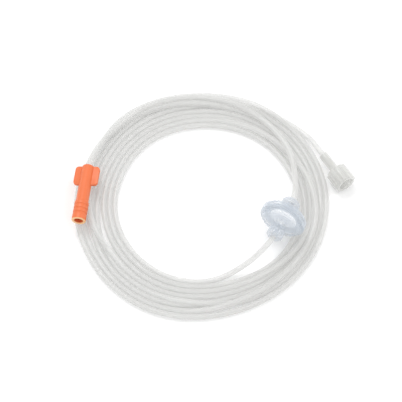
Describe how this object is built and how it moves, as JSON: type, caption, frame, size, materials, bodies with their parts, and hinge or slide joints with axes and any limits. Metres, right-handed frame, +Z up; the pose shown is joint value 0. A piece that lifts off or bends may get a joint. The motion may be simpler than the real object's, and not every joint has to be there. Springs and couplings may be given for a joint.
{
  "type": "carbon dioxide sampling line",
  "caption": "Loosely coiled clear gas sampling tubing with a male luer lock, an in-line disc filter and a winged orange plug-in connector for a gas monitor.",
  "frame": {"origin": "middle of the footprint, on the surface that the coil lies on", "axes": "+Z up out of the flat coil; +X from the orange monitor connector's side towards the luer lock's side; +Y away from the open mouth of the orange connector"},
  "size_m": [0.1512, 0.1368, 0.0286],
  "materials": {
    "clear_tubing": "smooth clear soft tubing with a fine bore",
    "milky_plastic": "milky see-through moulded plastic, half gloss",
    "clear_plastic": "clear moulded plastic with a faint blue cast, glossy",
    "white_membrane": "matt white filter sheet",
    "orange_plastic": "smooth opaque orange moulded plastic, satin"
  },
  "bodies": {
    "root": {"tubing_coil": "clear_tubing", "tubing_luer_lead": "clear_tubing", "tubing_filter_lead": "clear_tubing", "tubing_monitor_lead": "clear_tubing", "luer_lock": "milky_plastic", "filter_inlet_half": "clear_plastic", "filter_outlet_half": "clear_plastic", "filter_inlet_connector": "clear_plastic", "filter_outlet_connector": "clear_plastic", "filter_membrane": "white_membrane", "monitor_connector": "orange_plastic"}
  },
  "joints": []
}
